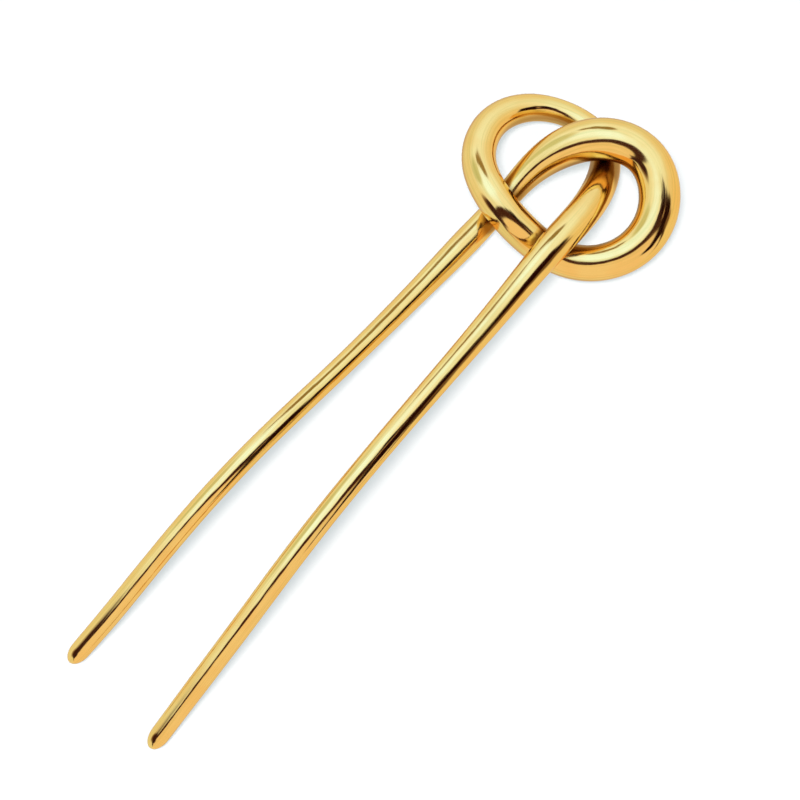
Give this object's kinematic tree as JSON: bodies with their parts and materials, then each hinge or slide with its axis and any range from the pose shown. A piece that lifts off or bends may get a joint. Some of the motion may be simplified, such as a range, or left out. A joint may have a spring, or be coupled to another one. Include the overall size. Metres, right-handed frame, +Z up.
{
  "type": "hairpin",
  "caption": "Two-pronged metal hairpin: one round rod whose middle is tied into an open knot of loops, with arched prongs that hold a bun",
  "frame": {"origin": "On the surface that the pin lies on, under the middle of its bounding box", "axes": "+Z up from that surface, +Y from the tips towards the knot, +X across the pin towards its longer prong; at rest on both tips and the strands under the knot"},
  "size_m": [0.0338, 0.114, 0.0121],
  "materials": {
    "gold": "polished"
  },
  "bodies": {
    "root": {"knotted_pin": "gold"}
  },
  "joints": []
}
